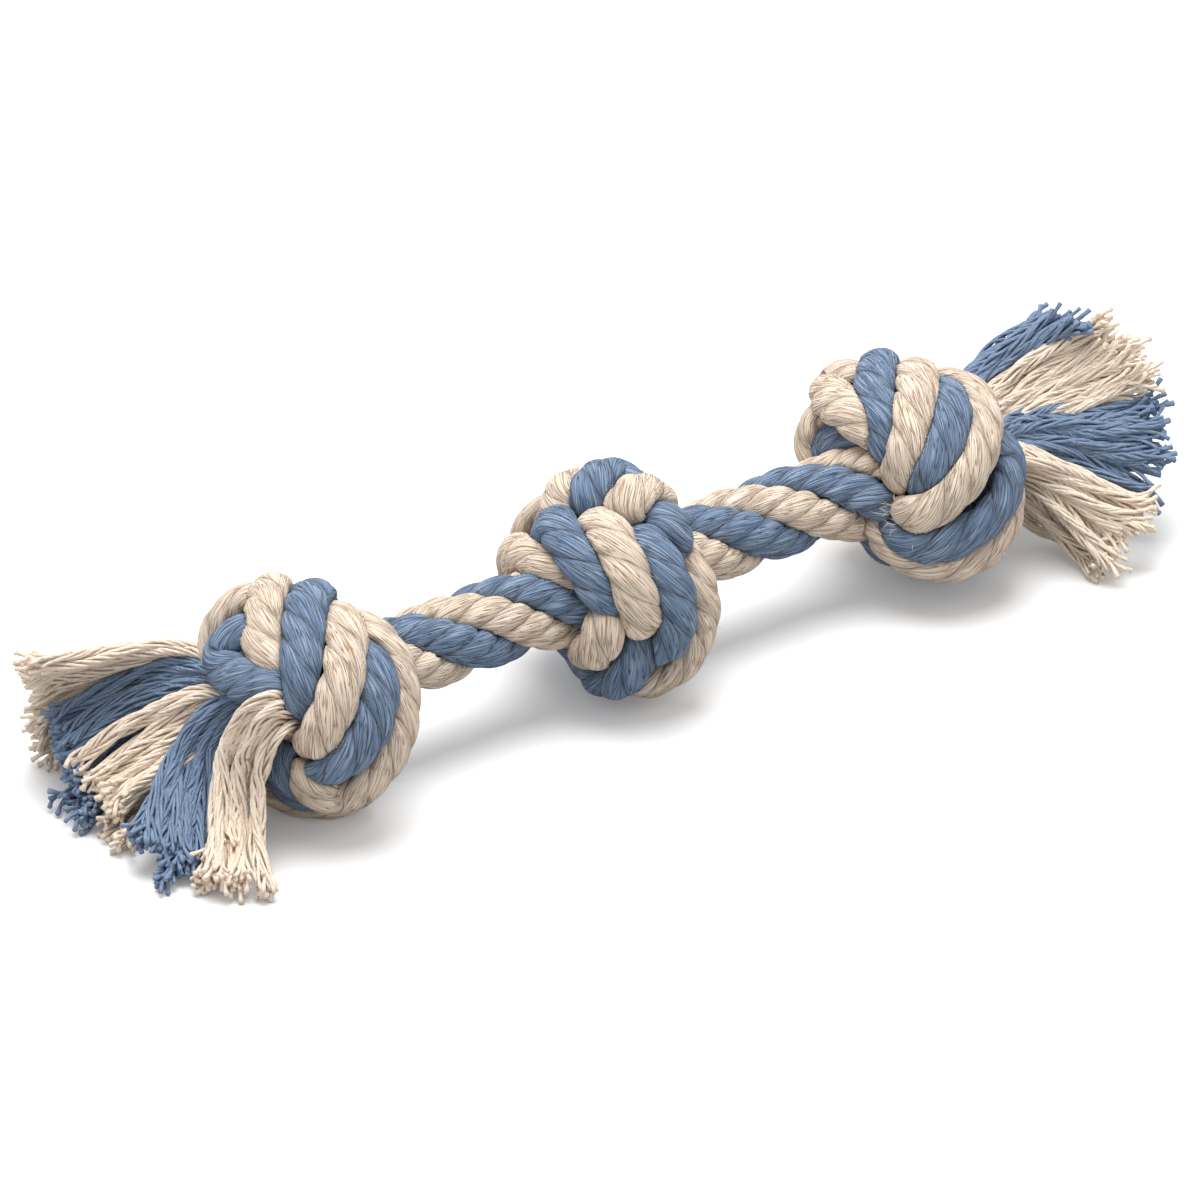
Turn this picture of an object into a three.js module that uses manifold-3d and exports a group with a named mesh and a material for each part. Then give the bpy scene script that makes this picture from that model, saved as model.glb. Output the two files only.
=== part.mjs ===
import * as THREE from 'three';
import { mergeVertices } from 'three/addons/utils/BufferGeometryUtils.js';
import Module from 'manifold-3d';

// A rope dog toy: one length of four-strand cotton rope, two strands blue and two cream, tied in
// three hard knots, with both ends unlaid into tassels. It lies along X, and Y points to its back.
// Lengths are millimetres and angles are degrees.

const wasm = await Module();
wasm.setup();

// The laid rope between the knots
const ropeStrandWidth = 8.4;
const ropeStrandDepth = 9.3;
const layRadius = 7.4;
const layLength = 75;
const strandsPerRope = 4;
const stretchPlaces = 12;
const leftStartTurn = 0.325;
const rightStartTurn = 0.373;

// How far the rope swings to the viewer's side where it goes into the middle and right knots, and
// how much it opens there
const middleEntryShift = 5;
const rightEntryShift = 7;
const middleSwellShare = 0;
const rightSwellShare = 0.35;
const entryShare = 0.3;

// The knots: outer size, how far the end knots stand out to the viewer's side, and the turns that
// they show
const knotSpacing = 103;
const leftKnotShift = 3.7;
const rightKnotShift = 3;
const knotHalfLength = 28.9;
const knotRadius = 33;
const turnWidth = 11;
const turnThickness = 8.6;
const coreLengthShare = 0.42;
const coreRadiusShare = 0.68;
const restCut = 0.7;

// The tassels: how far the longest cord reaches from the middle of its knot
const tasselReach = 80;
const tasselCordDiameter = 6.8;

// Clearance between pieces that press on each other, and how finely the tubes are stepped
const clearance = 0.3;
const floorDepth = 20;
const floorSpan = 600;
const turnStep = 11;
const ropeStep = 9;
const cordStep = 18;
const turnSides = 7;
const cordSides = 5;
const coreSegments = 16;
const endShare = 0.6;

const cream = { color: 0xe3d3bd, roughness: 0.95, metalness: 0 };
const blue = { color: 0x5f7fae, roughness: 0.95, metalness: 0 };
const colours = { cream, blue };

// Each turn is a list of places on its knot: the angle around the rope, from the top towards the
// viewer's side, the angle along the rope from the knot's waist, and the share of the way out from
// the knot's middle to where the outer turns lie. A turn that comes first lies on top.
const leftTurnShares = [
  ['cream', [[-22, 38, 0.7], [-9, 33, 0.81], [10, 16, 0.9], [26, 3, 0.97], [45, -11, 1.01],
    [58, -22, 1.02], [70, -31, 1.02], [83, -39, 1], [102, -44, 0.84]]],
  ['blue', [[-80, 56, 0.78], [-60, 44, 0.92], [-40, 30, 0.98], [-22, 17, 1], [-8, 2, 1.01],
    [5, -12, 1.02], [18, -24, 1], [31, -35, 0.99], [46, -43, 0.94], [67, -48, 0.74]]],
  ['cream', [[-110, 50, 0.8], [-92, 38, 0.97], [-72, 25, 1.06], [-54, 12, 1.11], [-38, -1, 1.12],
    [-24, -16, 1.08], [-12, -34, 1.03], [1, -44, 1], [17, -50, 0.94], [30, -56, 0.74]]],
  ['blue', [[24, 40, 0.74], [37, 22, 0.84], [51, 12, 0.97], [65, 5, 1], [78, -4, 1.01],
    [89, -14, 1.01], [99, -25, 1], [111, -36, 0.93], [123, -47, 0.76]]],
  ['cream', [[-14, 48, 0.76], [6, 38, 0.84], [20, 32, 0.92], [35, 30, 0.98], [52, 32, 1],
    [71, 28, 1], [89, 22, 1], [103, 12, 1.01], [118, -1, 1.02], [135, -12, 1.02],
    [138, -23, 1.01], [131, -35, 0.98], [121, -42, 0.93], [113, -45, 0.8]]],
  ['blue', [[-20, -29, 0.88], [-25, -37, 1.04], [-34, -43, 1.12], [-43, -51, 1.14],
    [-31, -61, 1.12], [4, -62, 1.08], [28, -54, 0.98], [41, -50, 0.78]]],
  ['cream', [[-36, 2, 0.84], [-41, -7, 1.07], [-47, -14, 1.16], [-53, -22, 1.19],
    [-61, -30, 1.18], [-72, -38, 1.12], [-92, -45, 1.04], [-120, -44, 1], [-150, -41, 1],
    [-178, -31, 1.03], [-190, -16, 1.03], [-197, 0, 1.03], [-205, 16, 1.01], [-214, 32, 0.8]]],
  ['blue', [[113, -55, 0.72], [128, -56, 0.84], [143, -51, 0.92], [156, -36, 0.95],
    [161, -20, 0.95], [166, -7, 0.82], [168, 8, 0.7]]],
  ['blue', [[-46, -8, 0.76], [-60, -8, 0.95], [-74, 2, 1.02], [-90, 18, 1], [-105, 31, 1],
    [-122, 39, 0.95], [-146, 43, 0.72]]],
  ['cream', [[-66, -22, 0.76], [-80, -18, 0.95], [-100, -4, 1], [-115, 7, 1], [-128, 17, 1],
    [-143, 28, 0.97], [-165, 38, 0.76]]],
  ['blue', [[-98, -24, 0.76], [-112, -22, 0.94], [-128, -18, 1], [-144, -12, 1.02],
    [-158, -2, 1.04], [-171, 11, 1.04], [-182, 25, 1], [-190, 40, 0.78]]],
];

const middleTurnShares = [
  ['cream', [[1, -28, 0.72], [13, -27, 0.9], [24, -25, 1.01], [37, -25, 1.06], [52, -25, 1.09],
    [66, -25, 1.09], [78, -23, 1.04], [89, -20, 0.93], [101, -15, 0.75]]],
  ['blue', [[-44, -43, 0.74], [-25, -45, 0.9], [-9, -43, 1.01], [5, -44, 1.05], [23, -46, 1.06],
    [42, -46, 1.04], [59, -43, 1.01], [73, -39, 0.92], [89, -30, 0.75]]],
  ['blue', [[32, -5, 0.72], [38, -6, 0.88], [46, -4, 0.98], [58, -2, 1.03], [73, 1, 1.04],
    [88, 2, 1.03], [102, 1, 1], [114, -2, 0.93], [130, 0, 0.77]]],
  ['cream', [[17, 52, 0.8], [10, 40, 0.94], [9, 26, 1], [13, 10, 1.03], [17, -1, 1.01],
    [20, -5, 0.88], [25, -6, 0.7]]],
  ['blue', [[-8, 40, 0.84], [-12, 30, 0.97], [-19, 19, 1.02], [-13, 3, 1.03], [-6, -10, 1.01],
    [-2, -17, 0.9], [-2, -19, 0.72]]],
  ['blue', [[20, 14, 0.72], [26, 18, 0.88], [33, 20, 0.97], [42, 23, 0.98], [50, 33, 0.85],
    [58, 44, 0.7]]],
  ['cream', [[-64, 16, 0.72], [-50, 8, 0.88], [-38, 0, 0.96], [-31, -13, 0.98],
    [-25, -24, 0.9], [-14, -32, 0.7]]],
  ['cream', [[-112, -44, 0.8], [-96, -46, 0.98], [-80, -48, 1.03], [-58, -57, 1.05],
    [-22, -65, 1.03], [14, -67, 0.98], [45, -62, 0.8], [60, -58, 0.7]]],
  ['cream', [[44, 46, 0.7], [58, 38, 0.85], [77, 34, 0.95], [96, 35, 1.01], [112, 30, 1.05],
    [125, 21, 1.08], [136, 10, 1.08], [147, -2, 1.05], [157, -12, 0.9], [164, -20, 0.72]]],
  ['cream', [[75, -39, 0.72], [83, -41, 0.9], [92, -44, 1.01], [106, -47, 1.04],
    [120, -49, 1.02], [131, -48, 0.94], [144, -44, 0.75]]],
  ['blue', [[104, -12, 0.7], [114, -17, 0.9], [127, -22, 1.02], [142, -24, 1.05],
    [158, -24, 1], [174, -25, 0.87], [190, -28, 0.8], [206, -32, 0.78], [224, -38, 0.76],
    [240, -44, 0.7]]],
  ['cream', [[-34, -12, 0.7], [-46, -15, 0.86], [-56, -21, 0.93], [-68, -24, 0.96],
    [-86, -22, 0.97], [-106, -20, 1], [-124, -18, 0.92], [-140, -18, 0.72]]],
  ['cream', [[-56, 22, 0.76], [-72, 21, 0.94], [-88, 21, 1.02], [-104, 22, 1.03],
    [-120, 22, 1.03], [-138, 23, 1.03], [-156, 22, 1.02], [-170, 20, 0.95], [-186, 16, 0.75]]],
  ['blue', [[-88, 0, 0.74], [-100, 0, 0.92], [-114, 0, 1.01], [-130, 1, 1.03],
    [-146, -1, 1.04], [-162, -2, 1.05], [-178, -2, 1.05], [-194, 1, 0.95], [-208, 5, 0.74]]],
  ['blue', [[-46, 44, 0.76], [-60, 42, 0.95], [-76, 42, 1.02], [-96, 44, 1.02],
    [-118, 45, 1.01], [-140, 44, 1.01], [-160, 42, 1], [-180, 40, 0.96], [-196, 38, 0.78]]],
];

const rightTurnShares = [
  ['cream', [[-32, 32, 0.74], [-13, 30, 0.87], [2, 33, 0.96], [16, 35, 1], [34, 27, 1.02],
    [48, 16, 1.02], [59, 4, 1.02], [68, -9, 1.01], [77, -23, 1], [85, -36, 1], [89, -47, 0.95],
    [92, -54, 0.82]]],
  ['blue', [[-92, 40, 0.8], [-78, 30, 0.98], [-60, 18, 1.04], [-44, 6, 1.06], [-29, -5, 1.05],
    [-12, -24, 1.03], [2, -34, 1.01], [14, -40, 0.98], [25, -46, 0.88], [36, -53, 0.7]]],
  ['cream', [[-78, 50, 0.82], [-55, 41, 0.91], [-36, 28, 0.94], [-15, 12, 0.95], [1, 0, 0.99],
    [13, -11, 1.02], [22, -21, 1.02], [32, -30, 1.01], [41, -38, 0.99], [53, -46, 0.88],
    [71, -53, 0.7]]],
  ['blue', [[-20, 42, 0.7], [-5, 33, 0.79], [12, 19, 0.88], [29, 5, 0.97], [40, -6, 1],
    [48, -15, 1], [55, -25, 0.98], [62, -33, 0.9], [74, -43, 0.72]]],
  ['blue', [[48, 45, 0.8], [57, 39, 0.95], [69, 39, 1], [82, 32, 1.02], [90, 21, 1.02],
    [96, 6, 1.02], [102, -10, 1.02], [109, -26, 1.02], [114, -41, 1.01], [116, -53, 0.96],
    [123, -63, 0.82]]],
  ['cream', [[88, 49, 0.84], [99, 45, 0.97], [108, 36, 1.03], [112, 22, 1.07], [118, 8, 1.08],
    [124, -6, 1.06], [128, -22, 1.04], [128, -38, 1.02], [126, -52, 1], [127, -63, 0.92],
    [150, -70, 0.76]]],
  ['cream', [[-41, -2, 0.84], [-44, -10, 1.05], [-48, -16, 1.16], [-52, -23, 1.18],
    [-41, -35, 1.14], [-14, -44, 1.1], [4, -45, 0.97], [15, -45, 0.76]]],
  ['cream', [[-59, -27, 0.82], [-62, -32, 1.02], [-67, -36, 1.12], [-74, -41, 1.14],
    [-81, -45, 1.12], [-90, -49, 1.06], [-102, -52, 0.92]]],
  ['blue', [[-8, -56, 0.7], [-31, -56, 0.87], [-66, -46, 0.92], [-84, -47, 1], [-98, -52, 1]]],
  ['blue', [[-78, -26, 0.76], [-90, -16, 0.94], [-101, -7, 1.01], [-113, 4, 1.02],
    [-124, 16, 1.02], [-134, 27, 0.99], [-144, 36, 0.88], [-156, 44, 0.7]]],
  ['cream', [[-58, -8, 0.74], [-70, -4, 0.94], [-83, 5, 1.03], [-96, 18, 1.02],
    [-108, 29, 1.01], [-122, 38, 0.94], [-136, 44, 0.74]]],
  ['cream', [[-84, -46, 0.76], [-98, -40, 0.94], [-118, -27, 1.01], [-133, -12, 1.02],
    [-145, 4, 1.03], [-155, 20, 1.02], [-163, 34, 0.96], [-168, 47, 0.78]]],
  ['blue', [[-150, -36, 0.64], [-162, -38, 0.78], [-174, -28, 0.86], [-183, -14, 0.92],
    [-190, 2, 1.08], [-197, 20, 1.05], [-201, 37, 0.93], [-200, 52, 0.7]]],
];

// Each end of the rope opens into bunches of cords. A cord is a list of places beyond its knot, as
// shares of the tassel's reach: away from the knot's middle, to the back, and up. The cords of a
// bunch share their first place, inside the knot, and a bunch that comes first lies on top.
const leftTasselShares = [
  ['cream', [0.1, -0.1, 0.03], [
    [[0.16, -0.13, 0.1], [0.32, -0.14, 0.17], [0.38, -0.09, 0.1], [0.45, -0.05, -0.05], [0.53, -0.12, -0.21], [0.65, -0.28, -0.34]],
    [[0.16, -0.14, 0.06], [0.31, -0.17, 0.14], [0.37, -0.14, 0.05], [0.42, -0.12, -0.1], [0.48, -0.18, -0.25], [0.62, -0.37, -0.35]],
    [[0.17, -0.14, 0.02], [0.29, -0.19, 0.07], [0.35, -0.18, -0.03], [0.4, -0.19, -0.16], [0.46, -0.27, -0.28], [0.54, -0.45, -0.36]],
    [[0.17, -0.11, -0.03], [0.25, -0.05, -0.1], [0.32, -0.02, -0.25], [0.47, -0.11, -0.34], [0.7, -0.28, -0.36]],
  ]],
  ['blue', [0.18, -0.02, 0.03], [
    [[0.25, -0.02, 0.07], [0.3, 0.06, 0.07], [0.39, 0.12, 0], [0.5, 0.14, -0.14], [0.79, 0.01, -0.28]],
    [[0.24, -0.01, 0.05], [0.28, 0.06, 0.04], [0.36, 0.09, -0.05], [0.48, 0.08, -0.19], [0.73, -0.06, -0.31]],
    [[0.24, 0, 0.03], [0.29, 0.06, -0.01], [0.38, 0.08, -0.12], [0.49, 0.02, -0.25], [0.64, -0.13, -0.35]],
    [[0.21, 0.07, -0.05], [0.28, 0.17, -0.21], [0.42, 0.12, -0.31], [0.59, 0, -0.36], [0.76, -0.13, -0.36]],
  ]],
  ['cream', [0.2, 0.05, 0], [
    [[0.28, 0.08, 0.05], [0.34, 0.17, 0.06], [0.44, 0.26, 0], [0.56, 0.36, -0.1], [0.7, 0.45, -0.23]],
    [[0.28, 0.09, 0.03], [0.33, 0.18, 0.03], [0.44, 0.24, -0.05], [0.55, 0.31, -0.16], [0.7, 0.38, -0.28]],
    [[0.25, 0.14, -0.06], [0.32, 0.24, -0.15], [0.41, 0.31, -0.29], [0.56, 0.29, -0.35], [0.74, 0.2, -0.36]],
    [[0.22, 0.18, -0.1], [0.28, 0.32, -0.28], [0.45, 0.27, -0.35], [0.61, 0.18, -0.36], [0.76, 0.09, -0.36]],
  ]],
  ['blue', [0.16, 0.12, 0], [
    [[0.24, 0.18, 0.07], [0.26, 0.31, 0.07], [0.32, 0.49, 0], [0.44, 0.6, -0.09], [0.64, 0.66, -0.17]],
    [[0.23, 0.2, 0.04], [0.26, 0.32, 0.04], [0.32, 0.46, -0.05], [0.45, 0.56, -0.15], [0.68, 0.58, -0.24]],
    [[0.2, 0.26, -0.06], [0.22, 0.43, -0.15], [0.36, 0.53, -0.29], [0.56, 0.5, -0.35], [0.76, 0.44, -0.36]],
    [[0.17, 0.31, -0.12], [0.22, 0.48, -0.28], [0.43, 0.46, -0.35], [0.62, 0.38, -0.36], [0.78, 0.28, -0.36]],
  ]],
  ['cream', [0.16, 0.14, 0.05], [
    [[0.23, 0.22, 0.11], [0.27, 0.33, 0.15], [0.4, 0.43, 0.16], [0.63, 0.49, 0.16], [0.79, 0.58, 0.15]],
    [[0.23, 0.23, 0.07], [0.25, 0.38, 0.09], [0.4, 0.5, 0.06], [0.56, 0.6, 0.03], [0.7, 0.67, 0]],
    [[0.2, 0.27, -0.03], [0.22, 0.44, -0.04], [0.33, 0.58, -0.12], [0.46, 0.7, -0.23], [0.64, 0.75, -0.28]],
    [[0.17, 0.32, -0.1], [0.2, 0.51, -0.17], [0.31, 0.65, -0.29], [0.46, 0.7, -0.35], [0.62, 0.7, -0.36]],
  ]],
];

const rightTasselShares = [
  ['cream', [0.2, -0.05, -0.05], [
    [[0.28, -0.1, 0], [0.34, -0.19, 0], [0.46, -0.26, -0.09], [0.56, -0.36, -0.16], [0.7, -0.44, -0.21]],
    [[0.3, -0.07, -0.04], [0.36, -0.17, -0.05], [0.44, -0.28, -0.12], [0.52, -0.4, -0.21], [0.62, -0.48, -0.26]],
    [[0.34, -0.01, -0.11], [0.38, -0.11, -0.17], [0.42, -0.21, -0.26], [0.46, -0.32, -0.34], [0.46, -0.45, -0.36]],
    [[0.35, 0.03, -0.15], [0.4, -0.03, -0.25], [0.45, -0.09, -0.33], [0.51, -0.16, -0.36], [0.54, -0.27, -0.36]],
  ]],
  ['blue', [0.18, -0.07, 0.04], [
    [[0.24, -0.12, 0.1], [0.4, -0.04, 0.07], [0.57, -0.04, 0.05], [0.73, -0.11, 0.03], [0.91, -0.19, 0.05]],
    [[0.25, -0.11, 0.07], [0.39, -0.06, 0.06], [0.55, -0.09, 0.03], [0.7, -0.19, -0.01], [0.87, -0.27, -0.01]],
    [[0.28, -0.08, 0.01], [0.39, -0.09, 0.01], [0.54, -0.15, -0.06], [0.67, -0.26, -0.14], [0.74, -0.38, -0.2]],
    [[0.3, -0.02, -0.04], [0.42, -0.05, -0.07], [0.55, -0.09, -0.17], [0.68, -0.16, -0.26], [0.76, -0.24, -0.33]],
  ]],
  ['cream', [0.2, 0.02, 0.07], [
    [[0.28, 0.03, 0.12], [0.39, 0.07, 0.15], [0.53, 0.08, 0.2], [0.68, 0.04, 0.25], [0.83, -0.02, 0.33]],
    [[0.29, 0.02, 0.11], [0.4, 0.06, 0.12], [0.59, 0.08, 0.16], [0.74, 0, 0.2], [0.88, -0.08, 0.25]],
    [[0.31, 0.01, 0.07], [0.44, 0.03, 0.07], [0.62, -0.01, 0.07], [0.78, -0.09, 0.1], [0.92, -0.18, 0.14]],
    [[0.31, 0.08, 0.05], [0.47, 0.16, 0.03], [0.65, 0.2, 0], [0.84, 0.24, -0.05], [1.02, 0.3, -0.1]],
  ]],
  ['blue', [0.18, 0.08, 0.08], [
    [[0.25, 0.1, 0.15], [0.35, 0.14, 0.19], [0.46, 0.15, 0.24], [0.58, 0.12, 0.3], [0.68, 0.07, 0.38]],
    [[0.26, 0.09, 0.14], [0.37, 0.13, 0.16], [0.5, 0.14, 0.21], [0.63, 0.08, 0.28], [0.73, -0.04, 0.35]],
    [[0.27, 0.14, 0.1], [0.39, 0.22, 0.12], [0.52, 0.27, 0.15], [0.67, 0.3, 0.17], [0.78, 0.3, 0.2]],
    [[0.3, 0.18, 0.05], [0.43, 0.29, 0.03], [0.59, 0.4, -0.03], [0.72, 0.49, -0.07], [0.84, 0.56, -0.12]],
  ]],
];

const shellHalfLength = knotHalfLength - turnThickness / 2;
const shellRadius = knotRadius - turnThickness / 2;
const knotHeight = knotRadius - restCut;

function solidFrom(geometry) {
  const bare = geometry.clone();
  bare.deleteAttribute('normal');
  bare.deleteAttribute('uv');
  const merged = mergeVertices(bare);
  return new wasm.Manifold(new wasm.Mesh({
    numProp: 3,
    vertProperties: new Float32Array(merged.attributes.position.array),
    triVerts: new Uint32Array(merged.index.array),
  }));
}

function joined(solids) {
  return solids.reduce((whole, solid) => whole.add(solid));
}

function largestBody(solid) {
  const bodies = solid.decompose();
  return bodies.reduce((most, body) => (body.volume() > most.volume() ? body : most));
}

function meshFrom(solid, name, colour) {
  const { vertProperties, triVerts } = solid.getMesh();
  const geometry = new THREE.BufferGeometry();
  geometry.setAttribute('position', new THREE.BufferAttribute(vertProperties, 3));
  geometry.setIndex(new THREE.BufferAttribute(triVerts, 1));
  geometry.computeVertexNormals();
  const mesh = new THREE.Mesh(geometry, new THREE.MeshStandardMaterial(colours[colour]));
  mesh.name = name;
  return mesh;
}

// A closed tube of oval section along a smooth route. Its width lies square to the direction that
// facing gives at each place, and spare makes it fatter and longer on every side.
function strandSolid({ route, facing, width, depth, sides, step, spare = 0 }) {
  const curve = new THREE.CatmullRomCurve3(route, false, 'centripetal');
  const steps = Math.max(3, Math.round(curve.getLength() / step));
  const positions = [];
  const first = curve.getPointAt(0).addScaledVector(curve.getTangentAt(0), -spare);
  positions.push(...first.toArray());
  for (let i = 0; i <= steps; i += 1) {
    const middle = curve.getPointAt(i / steps);
    const ahead = curve.getTangentAt(i / steps);
    const outward = facing(middle);
    outward.addScaledVector(ahead, -outward.dot(ahead)).normalize();
    const across = ahead.clone().cross(outward);
    const atEnd = i === 0 || i === steps;
    const share = atEnd ? endShare : 1;
    for (let j = 0; j < sides; j += 1) {
      const turn = 2 * Math.PI * (j + 1 / 2) / sides;
      const place = middle.clone();
      place.addScaledVector(across, Math.cos(turn) * (width / 2 * share + spare));
      place.addScaledVector(outward, Math.sin(turn) * (depth / 2 * share + spare));
      positions.push(...place.toArray());
    }
  }
  const last = curve.getPointAt(1).addScaledVector(curve.getTangentAt(1), spare);
  positions.push(...last.toArray());
  const index = [];
  const lastCorner = positions.length / 3 - 1;
  for (let j = 0; j < sides; j += 1) {
    const next = (j + 1) % sides;
    index.push(0, 1 + j, 1 + next);
    for (let i = 0; i < steps; i += 1) {
      const here = 1 + i * sides;
      const there = here + sides;
      index.push(here + j, there + j, there + next);
      index.push(here + j, there + next, here + next);
    }
    index.push(lastCorner, 1 + steps * sides + next, 1 + steps * sides + j);
  }
  const geometry = new THREE.BufferGeometry();
  geometry.setAttribute('position', new THREE.Float32BufferAttribute(positions, 3));
  geometry.setIndex(index);
  return solidFrom(geometry);
}

// The space that a tube keeps from the pieces beside it
function keptSpace(tube) {
  return joined([strandSolid(tube), strandSolid({ ...tube, spare: clearance })]);
}

// The flat surface that the toy lies on
const floorBlock = new THREE.BoxGeometry(floorSpan, floorSpan, floorDepth);
floorBlock.translate(0, 0, -floorDepth / 2);
const floorSolid = solidFrom(floorBlock);

function knotPlace(centre, [around, along, outShare]) {
  const roll = THREE.MathUtils.degToRad(around);
  const lean = THREE.MathUtils.degToRad(along);
  return new THREE.Vector3(
    shellHalfLength * Math.sin(lean),
    -shellRadius * Math.cos(lean) * Math.sin(roll),
    shellRadius * Math.cos(lean) * Math.cos(roll),
  ).multiplyScalar(outShare).add(centre);
}

// The crossing of the rope inside a knot, pulled into one hard mass
function coreSolid(centre, spare = 0) {
  const ball = new THREE.SphereGeometry(1, coreSegments, coreSegments / 2);
  ball.rotateZ(-Math.PI / 2);
  ball.scale(
    knotHalfLength * coreLengthShare + spare,
    knotRadius * coreRadiusShare + spare,
    knotRadius * coreRadiusShare + spare,
  );
  ball.translate(centre.x, centre.y, centre.z);
  return solidFrom(ball);
}

function makeKnot(side, centre, turnShares) {
  const knot = new THREE.Group();
  const blockers = [coreSolid(centre, clearance)];
  knot.add(meshFrom(coreSolid(centre), `${side}_knot_core`, 'cream'));
  const counts = { cream: 0, blue: 0 };
  for (const [colour, places] of turnShares) {
    const tube = {
      route: places.map((place) => knotPlace(centre, place)),
      facing: (place) => place.clone().sub(centre),
      width: turnWidth,
      depth: turnThickness,
      sides: turnSides,
      step: turnStep,
    };
    let solid = strandSolid(tube).subtract(floorSolid);
    for (const blocker of blockers) solid = solid.subtract(blocker);
    blockers.push(keptSpace(tube));
    counts[colour] += 1;
    knot.add(meshFrom(largestBody(solid), `${side}_knot_${colour}_turn_${counts[colour]}`, colour));
  }
  return { knot, blockers };
}

// The laid rope between two knots: each strand is a helix from inside one knot to inside the next,
// where the rope swings to the viewer's side by entryShift and opens by swellShare before the turns
// close over it. The rope's own line is that of the middle knot.
function makeStretch({ side, from, to, startTurn, entryShift, swellShare, blockers }) {
  const stretch = new THREE.Group();
  const taken = [...blockers];
  const counts = { cream: 0, blue: 0 };
  const start = from.x + knotHalfLength * coreLengthShare + clearance;
  const end = to.x - knotHalfLength * entryShare;
  const shiftStart = to.x - knotHalfLength;
  const swingShare = (x) => THREE.MathUtils.smoothstep(x, shiftStart - layRadius, end);
  const axisPlace = (x) => new THREE.Vector3(x, -swingShare(x) * entryShift, from.z);
  for (let k = 0; k < strandsPerRope; k += 1) {
    const colour = k % 2 ? 'blue' : 'cream';
    const route = [];
    for (let i = 0; i <= stretchPlaces; i += 1) {
      const x = THREE.MathUtils.lerp(start, end, i / stretchPlaces);
      const turn = 2 * Math.PI * (startTurn + (x - from.x) / layLength + k / strandsPerRope);
      const lay = new THREE.Vector3(0, -Math.sin(turn), Math.cos(turn));
      lay.multiplyScalar(layRadius * (1 + swingShare(x) * swellShare));
      route.push(axisPlace(x).add(lay));
    }
    const tube = {
      route,
      facing: (place) => place.clone().sub(axisPlace(place.x)),
      width: ropeStrandWidth,
      depth: ropeStrandDepth,
      sides: turnSides,
      step: ropeStep,
    };
    let solid = strandSolid(tube);
    for (const blocker of taken) solid = solid.subtract(blocker);
    taken.push(keptSpace(tube));
    counts[colour] += 1;
    const name = `${side}_rope_${colour}_strand_${counts[colour]}`;
    stretch.add(meshFrom(largestBody(solid), name, colour));
  }
  return stretch;
}

// A tassel: bunches of cords that leave the knot close together and spread
function makeTassel({ side, centre, direction, bunches, blockers }) {
  const tassel = new THREE.Group();
  const taken = [...blockers];
  const counts = { cream: 0, blue: 0 };
  const tasselPlace = ([away, back, up]) => (
    new THREE.Vector3(direction * away, back, up).multiplyScalar(tasselReach).add(centre)
  );
  for (const [colour, neck, cords] of bunches) {
    const tubes = cords.map((places) => ({
      route: [neck, ...places].map(tasselPlace),
      facing: () => new THREE.Vector3(0, 0, 1),
      width: tasselCordDiameter,
      depth: tasselCordDiameter,
      sides: cordSides,
      step: cordStep,
    }));
    let bunch = joined(tubes.map((tube) => strandSolid(tube))).subtract(floorSolid);
    for (const blocker of taken) bunch = bunch.subtract(blocker);
    taken.push(joined(tubes.map(keptSpace)));
    counts[colour] += 1;
    tassel.add(meshFrom(largestBody(bunch), `${side}_tassel_${colour}_cords_${counts[colour]}`, colour));
  }
  return tassel;
}

const leftCentre = new THREE.Vector3(-knotSpacing, -leftKnotShift, knotHeight);
const middleCentre = new THREE.Vector3(0, 0, knotHeight);
const rightCentre = new THREE.Vector3(knotSpacing, -rightKnotShift, knotHeight);
const left = makeKnot('left', leftCentre, leftTurnShares);
const middle = makeKnot('middle', middleCentre, middleTurnShares);
const right = makeKnot('right', rightCentre, rightTurnShares);

const toy = new THREE.Group();
toy.add(left.knot, middle.knot, right.knot);
toy.add(makeStretch({
  side: 'left',
  from: leftCentre,
  to: middleCentre,
  startTurn: leftStartTurn,
  entryShift: middleEntryShift,
  swellShare: middleSwellShare,
  blockers: [...left.blockers, ...middle.blockers],
}));
toy.add(makeStretch({
  side: 'right',
  from: middleCentre,
  to: rightCentre,
  startTurn: rightStartTurn,
  entryShift: rightEntryShift,
  swellShare: rightSwellShare,
  blockers: [...middle.blockers, ...right.blockers],
}));
toy.add(makeTassel({
  side: 'left',
  centre: leftCentre,
  direction: -1,
  bunches: leftTasselShares,
  blockers: left.blockers,
}));
toy.add(makeTassel({
  side: 'right',
  centre: rightCentre,
  direction: 1,
  bunches: rightTasselShares,
  blockers: right.blockers,
}));

// The toy's own frame has its origin below the middle of its box, on the floor
const box = new THREE.Box3().setFromObject(toy);
const boxMiddle = box.getCenter(new THREE.Vector3());
toy.position.set(-boxMiddle.x, -boxMiddle.y, -box.min.z);

export default toy;
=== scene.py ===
import math
import random

import bmesh
import bpy
import numpy as np
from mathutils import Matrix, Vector
from mathutils.geometry import interpolate_bezier
from mathutils.kdtree import KDTree


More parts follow.
